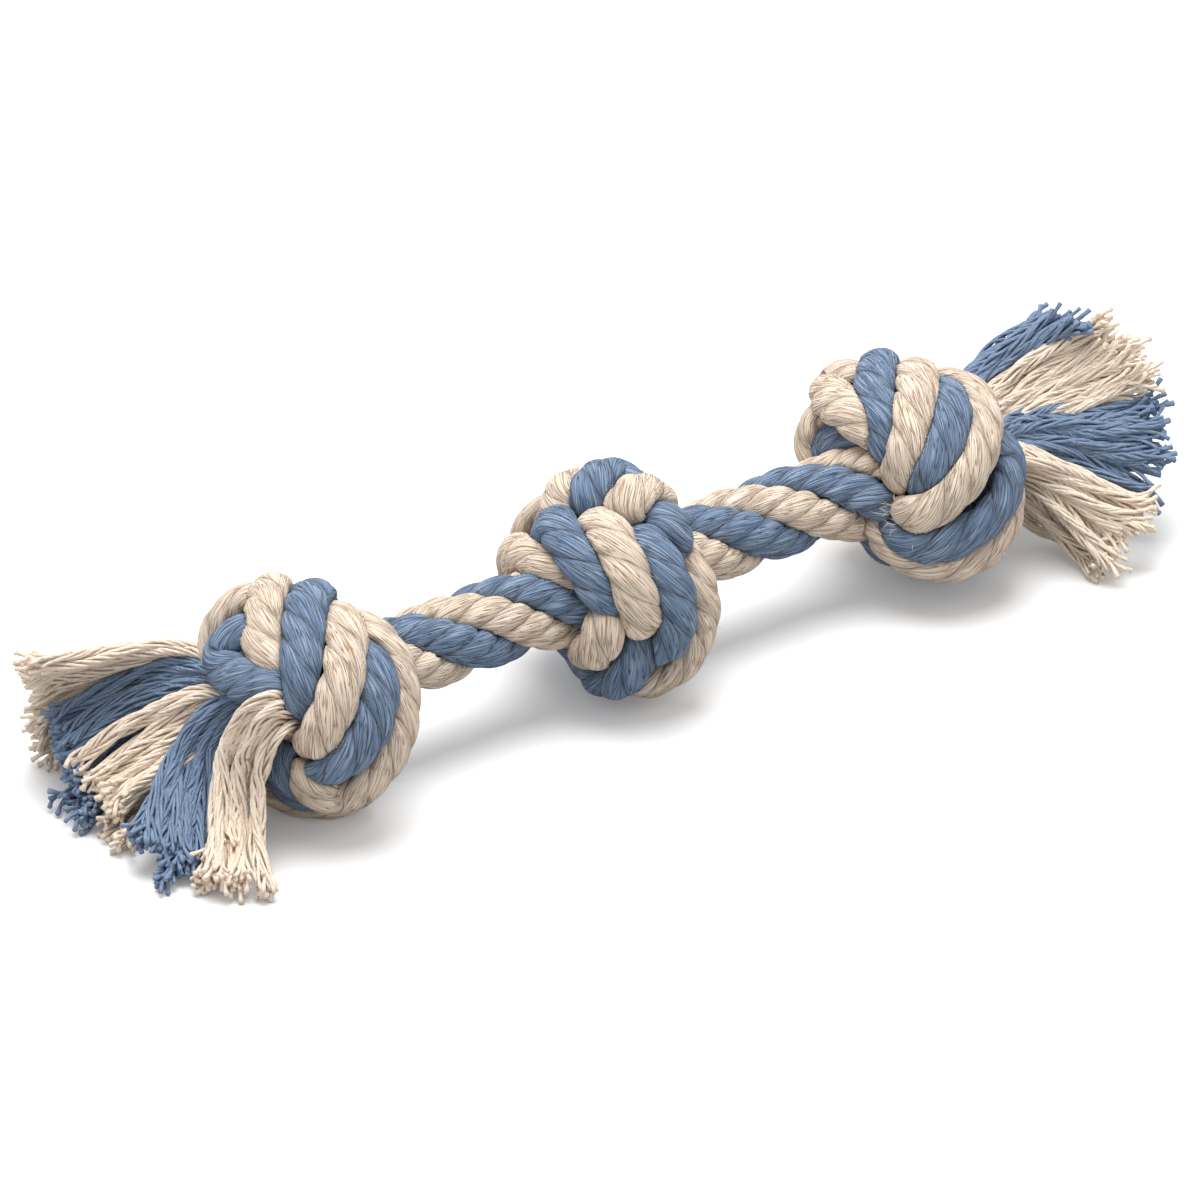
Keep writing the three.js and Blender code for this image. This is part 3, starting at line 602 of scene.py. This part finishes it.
def cotton_piece(node, colour, skins, spans, creases, wraps, slant):
    """One piece of closed tubes, each a grid rolled up.

    span is a tube's length and wrap the way round it, so that its UV map is in metres, and slant is
    how far the fibres move round it for each metre along it.
    """
    mesh = bpy.data.meshes.new(node + "_cotton")
    form = bmesh.new()
    form.loops.layers.uv.new("UVMap")
    for skin in skins:
        rows, columns = skin.shape[:2]
        bmesh.ops.create_grid(
            form, x_segments=columns - 1, y_segments=rows - 1, size=1, calc_uvs=True,
        )
    form.to_mesh(mesh)
    form.free()
    mesh.vertices.foreach_set("co", np.concatenate([skin.reshape(-1) for skin in skins]))
    uv = np.empty(2 * len(mesh.loops), np.float32)
    mesh.uv_layers["UVMap"].data.foreach_get("uv", uv)
    uv = uv.reshape(-1, 4, 2)
    first = 0
    for skin, span, wrap in zip(skins, spans, wraps):
        last = first + (skin.shape[0] - 1) * (skin.shape[1] - 1)
        lobe = np.floor(uv[first:last, :, 0].mean(axis=1) * cords_per_strand)
        uv[first:last, :, 1] = uv[first:last, :, 1] * span
        uv[first:last, :, 0] = uv[first:last, :, 0] * wrap + lobe[:, None] * lobe_offset
        uv[first:last, :, 0] += slant * uv[first:last, :, 1]
        uv[first:last, :, 1] += random.random()
        first = last
    mesh.uv_layers["UVMap"].data.foreach_set("uv", uv.reshape(-1))
    attribute = mesh.attributes.new("crease", "FLOAT", "POINT")
    values = np.concatenate([crease.reshape(-1) for crease in creases])
    attribute.data.foreach_set("value", values)
    form = bmesh.new()
    form.from_mesh(mesh)
    bmesh.ops.remove_doubles(form, verts=form.verts, dist=weld_distance)
    bmesh.ops.recalc_face_normals(form, faces=form.faces)
    for face in form.faces:
        face.smooth = True
    form.to_mesh(mesh)
    form.free()
    mesh.materials.append(cottons[colour])
    piece = bpy.data.objects.new(node + "_cotton", mesh)
    bpy.context.scene.collection.objects.link(piece)
    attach(piece, "root")
    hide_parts(node)
    return piece

# The strands and their hairs
# Each strand becomes one piece, with the broken fibres that stand off it. The cream end that is
# tucked in at the front of the right knot frays into a short brush.
hairs_per_metre = 260
hair_radius = 0.00005
hair_sides = 3
hair_places = 6
hair_bend = 0.5
hair_least = 0.002
hair_most = 0.005
hair_lean = 0.8
hair_rise_least = 0.1
hair_rise_most = 0.6
hair_end_rows = 3
hair_root_share = 0.97
hair_span = 0.004
hair_wrap = 0.0004
frayed_end = "right_knot_cream_turn_1"
frayed_row = -5
frayed_row_before = -12
frayed_spread = 0.35
frayed_reach = 0.008
frayed_least = 0.001
frayed_most = 0.0028
frayed_hairs = 140
frayed_radius = 0.0001


def tube_skin(route, radius, sides):
    """A tube's skin: a ring of points round each point of its route."""
    up = np.tile([0.0, 0.0, 1.0], (len(route), 1))
    ahead, outward, across = frames_along(route, up)
    turn = np.linspace(0, 2 * math.pi, sides + 1)
    return (
        route[:, None]
        + across[:, None] * (np.cos(turn)[None, :] * radius[:, None])[..., None]
        + outward[:, None] * (np.sin(turn)[None, :] * radius[:, None])[..., None]
    )


def stray_hair(start, lean, length, radius):
    """A broken fibre that stands off the cotton in a slack curve."""
    bend = Vector([random.gauss(0, hair_bend) for _ in range(3)])
    route = []
    for i in range(hair_places):
        share = i / (hair_places - 1)
        route.append(start + (lean * share + bend * share * share) * length)
    girth = np.full(hair_places, radius)
    girth[0] = girth[-1] = radius / 4
    return tube_skin(np.array(route), girth, hair_sides)


def hairs_of(strand):
    """The hairs of one strand, but for those that would reach below the floor."""
    skin = strand["skin"]
    rows, columns = skin.shape[:2]
    hairs = []
    for _ in range(round(hairs_per_metre * strand["marks"][-1])):
        i = random.randrange(hair_end_rows, rows - hair_end_rows)
        j = random.randrange(columns - 1)
        out = Vector(skin[i, j] - strand["route"][i])
        ahead = Vector(skin[i + 1, j] - skin[i - 1, j]).normalized()
        lean = out.normalized() * random.uniform(hair_rise_least, hair_rise_most)
        lean += ahead * random.choice((-hair_lean, hair_lean))
        start = Vector(strand["route"][i]) + out * hair_root_share
        hairs.append(stray_hair(start, lean, random.uniform(hair_least, hair_most), hair_radius))
    if strand["node"] == frayed_end:
        tip = Vector(strand["route"][frayed_row])
        ahead = (tip - Vector(strand["route"][frayed_row_before])).normalized()
        for _ in range(frayed_hairs):
            spread = Vector([random.gauss(0, frayed_spread) for _ in range(3)])
            start = tip + spread * frayed_reach
            length = random.uniform(frayed_least, frayed_most)
            hairs.append(stray_hair(start, ahead + spread, length, frayed_radius))
    return [hair for hair in hairs if hair[..., 2].min() > 0]


for strand in strands:
    hairs = hairs_of(strand)
    cotton_piece(
        strand["node"], strand["colour"], [strand["skin"], *hairs],
        [strand["marks"][-1]] + [hair_span] * len(hairs),
        [strand["crease"]] + [np.full(hair.shape[:2], loose_crease) for hair in hairs],
        [math.pi * strand["width"]] + [hair_wrap] * len(hairs), strand["slant"],
    )

# The left tassel
# The rope's end unlaid: every strand falls open into its cords and hangs down over the floor.
# A cord is three plies of six yarns, twisted by turns one way and the other, and frayed at its tip.
# A bunch is its colour, how deep its filling cords lie behind the leading ones, and the leading
# cords, as shares of the reach: away from the knot's middle, to the back, and up.
tassel_reach = 0.08
plies_per_cord = 3
yarns_per_ply = 6
ply_offset = 0.0014
ply_pitch = 0.07
yarn_offset = 0.0009
yarn_pitch = 0.028
yarn_radius = 0.00046
yarn_slant = 0.3
yarn_sway = 0.5
yarn_wave_least = 0.014
yarn_wave_most = 0.03
yarn_loose_least = 0.4
yarn_loose_most = 2.1
yarn_girth_play = 0.12
yarn_stray = 0.001
yarn_rows_off = 5
ply_flare = 0.7
tip_flare = 0.75
fill_steps = [[0.36, 0.0034], [0.64, 0.005]]
root_places = 2
root_share = 0.55
yarn_step = 0.0012
yarn_sides = 6
fray_length = 0.009
tip_step = 0.00015

left_tassel_shares = [
    ["cream", 0.9, [
      [[0.16, -0.13, 0.1], [0.32, -0.14, 0.17], [0.38, -0.09, 0.1], [0.41, -0.05, -0.05],
       [0.49, -0.12, -0.21], [0.68, -0.33, -0.35]],
      [[0.16, -0.14, 0.06], [0.31, -0.17, 0.14], [0.37, -0.14, 0.05], [0.4, -0.12, -0.1],
       [0.46, -0.18, -0.25], [0.63, -0.4, -0.355]],
      [[0.17, -0.14, 0.02], [0.29, -0.19, 0.07], [0.35, -0.18, -0.03], [0.38, -0.19, -0.16],
       [0.45, -0.27, -0.28], [0.55, -0.46, -0.36]],
      [[0.17, -0.11, -0.03], [0.25, -0.05, -0.1], [0.32, -0.02, -0.25], [0.47, -0.11, -0.34],
       [0.7, -0.28, -0.36]],
    ]],
    ["blue", 0.3, [
      [[0.25, -0.02, 0.07], [0.3, 0.06, 0.07], [0.39, 0.12, 0], [0.5, 0.14, -0.14],
       [0.78, -0.02, -0.28]],
      [[0.24, -0.01, 0.05], [0.28, 0.06, 0.04], [0.36, 0.09, -0.05], [0.48, 0.08, -0.19],
       [0.75, -0.12, -0.32]],
      [[0.24, 0, 0.03], [0.29, 0.06, -0.01], [0.38, 0.08, -0.12], [0.47, -0.01, -0.25],
       [0.65, -0.19, -0.355]],
      [[0.21, 0.07, -0.05], [0.28, 0.17, -0.21], [0.42, 0.12, -0.31], [0.6, -0.03, -0.36],
       [0.8, -0.2, -0.36]],
    ]],
    ["cream", 1.8, [
      [[0.28, 0.08, 0.05], [0.34, 0.17, 0.06], [0.44, 0.26, 0], [0.56, 0.36, -0.1],
       [0.7, 0.45, -0.23]],
      [[0.28, 0.09, 0.03], [0.33, 0.18, 0.03], [0.44, 0.24, -0.05], [0.55, 0.31, -0.16],
       [0.7, 0.38, -0.28]],
      [[0.28, 0.09, 0], [0.34, 0.16, -0.01], [0.44, 0.21, -0.11], [0.55, 0.27, -0.23],
       [0.67, 0.31, -0.34]],
      [[0.25, 0.14, -0.06], [0.32, 0.24, -0.15], [0.41, 0.31, -0.29], [0.56, 0.29, -0.35],
       [0.74, 0.2, -0.36]],
      [[0.22, 0.18, -0.1], [0.28, 0.32, -0.28], [0.45, 0.27, -0.35], [0.61, 0.18, -0.36],
       [0.76, 0.09, -0.36]],
    ]],
    ["blue", 1, [
      [[0.25, 0.17, 0.08], [0.28, 0.28, 0.09], [0.35, 0.45, 0.03], [0.47, 0.56, -0.06],
       [0.67, 0.62, -0.14]],
      [[0.24, 0.19, 0.05], [0.28, 0.29, 0.06], [0.35, 0.42, -0.02], [0.48, 0.52, -0.12],
       [0.71, 0.54, -0.21]],
      [[0.23, 0.2, 0.01], [0.28, 0.29, 0.02], [0.34, 0.41, -0.07], [0.48, 0.48, -0.18],
       [0.71, 0.48, -0.3]],
      [[0.2, 0.26, -0.06], [0.22, 0.43, -0.15], [0.36, 0.53, -0.29], [0.56, 0.5, -0.35],
       [0.76, 0.44, -0.36]],
      [[0.17, 0.31, -0.12], [0.22, 0.48, -0.28], [0.43, 0.46, -0.35], [0.62, 0.38, -0.36],
       [0.78, 0.28, -0.36]],
    ]],
    ["cream", -0.3, [
      [[0.23, 0.22, 0.09], [0.27, 0.34, 0.12], [0.4, 0.44, 0.13], [0.63, 0.5, 0.14],
       [0.8, 0.58, 0.14]],
      [[0.23, 0.24, 0.06], [0.25, 0.39, 0.07], [0.4, 0.51, 0.05], [0.57, 0.61, 0.02],
       [0.73, 0.67, 0]],
      [[0.22, 0.26, 0.03], [0.23, 0.43, 0.02], [0.34, 0.55, -0.03], [0.49, 0.65, -0.1],
       [0.66, 0.73, -0.16]],
      [[0.19, 0.29, -0.04], [0.21, 0.47, -0.05], [0.31, 0.61, -0.14], [0.45, 0.73, -0.24],
       [0.64, 0.77, -0.28]],
      [[0.17, 0.32, -0.1], [0.2, 0.53, -0.18], [0.3, 0.67, -0.3], [0.46, 0.72, -0.35],
       [0.62, 0.72, -0.36]],
    ]],
]


def yarn_skins(places, dice):
    """The yarns of one cord, each a thin closed tube that opens away from the rest at its tip."""
    route, marks = smooth_route(places, yarn_step)
    length = marks[-1]
    up = np.tile([0.0, 0.0, 1.0], (len(route), 1))
    ahead, outward, across = frames_along(route, up)
    fray = np.clip((marks - length + fray_length) / fray_length, 0, 1) ** 2
    skins = []
    for p in range(plies_per_cord):
        ply_turn = 2 * math.pi * (p / plies_per_cord + marks / ply_pitch) + dice.random()
        ply = route + (
            across * np.cos(ply_turn)[:, None] + outward * np.sin(ply_turn)[:, None]
        ) * (ply_offset * (1 + ply_flare * fray))[:, None]
        hand = 1 if p % 2 else -1
        phase = dice.uniform(0, 2 * math.pi)
        for y in range(yarns_per_ply):
            wave = 2 * math.pi * marks / dice.uniform(yarn_wave_least, yarn_wave_most)
            wave = wave + dice.uniform(0, 6)
            sway = yarn_sway * np.sin(wave)
            turn = hand * 2 * math.pi * marks / yarn_pitch + phase + 2 * math.pi * y / yarns_per_ply
            turn = turn + sway
            loose = 1 + fray * dice.uniform(yarn_loose_least, yarn_loose_most)
            yarn = ply + (
                across * np.cos(turn)[:, None] + outward * np.sin(turn)[:, None]
            ) * (yarn_offset * loose)[:, None]
            stray = np.array([dice.gauss(0, yarn_stray) for _ in range(3)])
            yarn = yarn + stray * fray[:, None]
            cut = len(marks) - dice.randrange(0, yarn_rows_off)
            yarn = yarn[:cut]
            yarn = np.vstack([yarn, yarn[-1] + unit(yarn[-1] - yarn[-2]) * tip_step])
            yarn[:, 2] = np.maximum(yarn[:, 2], 2 * yarn_radius)
            girth = 1 + yarn_girth_play * dice.uniform(-1, 1)
            radius = yarn_radius * (1 + tip_flare * fray[:cut] ** 2) * girth
            radius = np.append(radius, 0)
            radius[0] = 0
            skins.append(tube_skin(yarn, radius, yarn_sides))
    return skins


def open_tassel(side, middle, direction, tassel_shares):
    """The bunches of one tassel, each with filling cords between its leading ones."""
    counts = {"cream": 0, "blue": 0}

    def tassel_place(away, back, up):
        return middle + tassel_reach * Vector((direction * away, back, up))

    every_cord = [cord for bunch in tassel_shares for cord in bunch[2]]
    heart_start = sum((tassel_place(*cord[0]) for cord in every_cord), Vector()) / len(every_cord)
    heart_end = sum((tassel_place(*cord[-1]) for cord in every_cord), Vector()) / len(every_cord)

    def fill_cord(one, other, share, depth):
        """A cord between two others, nearer to the middle of the tassel by the depth."""
        places = []
        count = min(len(one), len(other))
        for k in range(count):
            place = one[k].lerp(other[k], share)
            heart_share = max(k - root_places, 0) / (count - 1 - root_places)
            heart = heart_start.lerp(heart_end, heart_share)
            places.append(place + (heart - place).normalized() * depth)
        return places

    for colour, fill_depth, cords in tassel_shares:
        counts[colour] += 1
        node = f"{side}_tassel_{colour}_cords_{counts[colour]}"
        skins = []
        routes = [[tassel_place(*share) for share in shares] for shares in cords]
        routes = [
            [middle.lerp(places[0], root_share), 2 * places[0] - places[1], *places]
            for places in routes
        ]
        fills = [
            fill_cord(one, other, share, depth * fill_depth)
            for one, other in zip(routes, routes[1:]) for share, depth in fill_steps
        ]
        for places in routes + fills:
            skins += yarn_skins(places, random)
        cotton_piece(
            node, colour, skins, [len(skin) * yarn_step for skin in skins],
            [np.full(skin.shape[:2], loose_crease) for skin in skins],
            [2 * math.pi * yarn_radius] * len(skins), yarn_slant,
        )


open_tassel("left", left_middle, -1, left_tassel_shares)

# The right tassel
# The other end, unlaid the same way; its upper cords stand out over the floor.
right_tassel_shares = [
    ["cream", 1, [
      [[0.28, -0.1, 0], [0.34, -0.19, 0.01], [0.46, -0.26, -0.06], [0.57, -0.36, -0.13],
       [0.7, -0.45, -0.21]],
      [[0.3, -0.07, -0.04], [0.36, -0.17, -0.05], [0.45, -0.28, -0.11], [0.54, -0.4, -0.18],
       [0.66, -0.48, -0.23]],
      [[0.32, -0.04, -0.07], [0.37, -0.16, -0.1], [0.41, -0.28, -0.17], [0.45, -0.41, -0.26],
       [0.49, -0.51, -0.35]],
      [[0.34, -0.01, -0.11], [0.38, -0.11, -0.17], [0.42, -0.21, -0.26], [0.46, -0.32, -0.34],
       [0.46, -0.45, -0.36]],
      [[0.35, 0.03, -0.15], [0.4, -0.03, -0.25], [0.45, -0.09, -0.33], [0.51, -0.16, -0.36],
       [0.54, -0.27, -0.36]],
    ]],
    ["blue", 0.8, [
      [[0.24, -0.12, 0.1], [0.4, -0.04, 0.07], [0.57, -0.04, 0.05], [0.74, -0.11, 0.03],
       [0.93, -0.19, 0.05]],
      [[0.25, -0.11, 0.07], [0.39, -0.06, 0.06], [0.55, -0.09, 0.03], [0.71, -0.19, -0.01],
       [0.9, -0.27, -0.01]],
      [[0.26, -0.1, 0.05], [0.39, -0.07, 0.04], [0.54, -0.12, -0.01], [0.68, -0.23, -0.06],
       [0.86, -0.32, -0.09]],
      [[0.28, -0.08, 0.01], [0.39, -0.09, 0.01], [0.54, -0.15, -0.06], [0.67, -0.27, -0.15],
       [0.77, -0.38, -0.22]],
      [[0.3, -0.02, -0.04], [0.42, -0.05, -0.07], [0.55, -0.09, -0.17], [0.68, -0.16, -0.26],
       [0.76, -0.24, -0.33]],
    ]],
    ["cream", 1.2, [
      [[0.28, 0.03, 0.12], [0.39, 0.07, 0.15], [0.53, 0.08, 0.2], [0.68, 0.04, 0.25],
       [0.83, -0.02, 0.32]],
      [[0.29, 0.03, 0.11], [0.4, 0.08, 0.12], [0.57, 0.1, 0.16], [0.72, 0.05, 0.21],
       [0.83, 0, 0.27]],
      [[0.29, 0.02, 0.11], [0.4, 0.06, 0.12], [0.59, 0.08, 0.16], [0.74, 0, 0.2],
       [0.88, -0.08, 0.25]],
      [[0.3, 0.01, 0.1], [0.41, 0.03, 0.11], [0.59, 0.02, 0.12], [0.76, -0.05, 0.16],
       [0.91, -0.14, 0.2]],
      [[0.31, 0.01, 0.07], [0.44, 0.03, 0.07], [0.62, -0.01, 0.07], [0.78, -0.09, 0.1],
       [0.92, -0.18, 0.14]],
      [[0.31, 0.08, 0.05], [0.47, 0.16, 0.03], [0.65, 0.2, 0], [0.84, 0.24, -0.05],
       [1.02, 0.3, -0.1]],
    ]],
    ["blue", 0.3, [
      [[0.25, 0.1, 0.15], [0.35, 0.14, 0.18], [0.46, 0.15, 0.22], [0.58, 0.13, 0.28],
       [0.7, 0.09, 0.34]],
      [[0.26, 0.09, 0.14], [0.37, 0.13, 0.16], [0.5, 0.14, 0.2], [0.63, 0.08, 0.28],
       [0.73, -0.02, 0.35]],
      [[0.27, 0.14, 0.1], [0.39, 0.22, 0.12], [0.52, 0.27, 0.15], [0.67, 0.3, 0.17],
       [0.78, 0.3, 0.2]],
      [[0.3, 0.18, 0.05], [0.43, 0.29, 0.03], [0.59, 0.4, -0.03], [0.72, 0.49, -0.07],
       [0.84, 0.56, -0.12]],
    ]],
]

open_tassel("right", right_middle, 1, right_tassel_shares)

# The floor, the light and the camera
# A plain white floor under a white sky, one large soft lamp high above and a little to the back,
# and a long lens. The camera sees the floor whiter than it shines on the toy.
floor_size = 30
floor_mesh = bpy.data.meshes.new("floor")
floor_form = bmesh.new()
bmesh.ops.create_grid(floor_form, x_segments=1, y_segments=1, size=floor_size / 2)
floor_form.to_mesh(floor_mesh)
floor_form.free()
floor = bpy.data.objects.new("floor", floor_mesh)
bpy.context.scene.collection.objects.link(floor)
floor_paint = bpy.data.materials.new("floor_paint")
floor_paint.use_nodes = True
floor_nodes = floor_paint.node_tree.nodes
floor_links = floor_paint.node_tree.links
floor_shader = floor_nodes["Principled BSDF"]
floor_shader.inputs["Roughness"].default_value = 0.9
floor_shader.inputs["Specular IOR Level"].default_value = 0
floor_shader.inputs["Emission Color"].default_value = (1, 1, 1, 1)
floor_ray = floor_nodes.new("ShaderNodeLightPath")
floor_glow = floor_nodes.new("ShaderNodeMath")
floor_glow.operation = "MULTIPLY"
floor_glow.inputs[1].default_value = 0.1
floor_links.new(floor_ray.outputs["Is Camera Ray"], floor_glow.inputs[0])
floor_links.new(floor_glow.outputs["Value"], floor_shader.inputs["Emission Strength"])
floor_colour = floor_nodes.new("ShaderNodeMix")
floor_colour.data_type = "RGBA"
floor_colour.inputs["A"].default_value = (0.5, 0.5, 0.5, 1)
floor_colour.inputs["B"].default_value = (0.97, 0.97, 0.97, 1)
floor_links.new(floor_ray.outputs["Is Camera Ray"], floor_colour.inputs["Factor"])
floor_links.new(floor_colour.outputs["Result"], floor_shader.inputs["Base Color"])
floor_mesh.materials.append(floor_paint)

world = bpy.data.worlds.new("studio")
bpy.context.scene.world = world
world.use_nodes = True
sky = world.node_tree.nodes["Background"]
sky.inputs["Color"].default_value = (1, 1, 1, 1)
sky.inputs["Strength"].default_value = 0.71

lamp_data = bpy.data.lights.new("soft_lamp", "AREA")
lamp_data.shape = "DISK"
lamp_data.size = 1.2
lamp_data.energy = 22
lamp = bpy.data.objects.new("soft_lamp", lamp_data)
bpy.context.scene.collection.objects.link(lamp)
lamp.location = (0.0, 0.15, 1.5)
lamp.rotation_euler = (Vector((0, 0, 0)) - lamp.location).to_track_quat("-Z", "Y").to_euler()

photo_side = 1200
photo_scale = 0.0002727
camera_around = 37.1
camera_rise = 30
lens = 1000
middle_knot_at = (610, 578)
camera_data = bpy.data.cameras.new("camera")
camera = bpy.data.objects.new("camera", camera_data)
bpy.context.scene.collection.objects.link(camera)
bpy.context.scene.camera = camera
around = math.radians(camera_around)
rise = math.radians(camera_rise)
back = Vector((
    -math.sin(around) * math.cos(rise),
    -math.cos(around) * math.cos(rise),
    math.sin(rise),
))
right = Vector((math.cos(around), -math.sin(around), 0))
up = back.cross(right)
aim = (
    middle_middle
    - right * (middle_knot_at[0] - photo_side / 2) * photo_scale
    + up * (middle_knot_at[1] - photo_side / 2) * photo_scale
)
camera_data.lens = lens
camera_data.sensor_width = 36
distance = photo_side * photo_scale * lens / camera_data.sensor_width
camera.location = aim + back * distance
camera.rotation_euler = back.to_track_quat("Z", "Y").to_euler()
camera_data.clip_start = 0.1
camera_data.clip_end = 100
bpy.context.scene.view_settings.view_transform = "Standard"
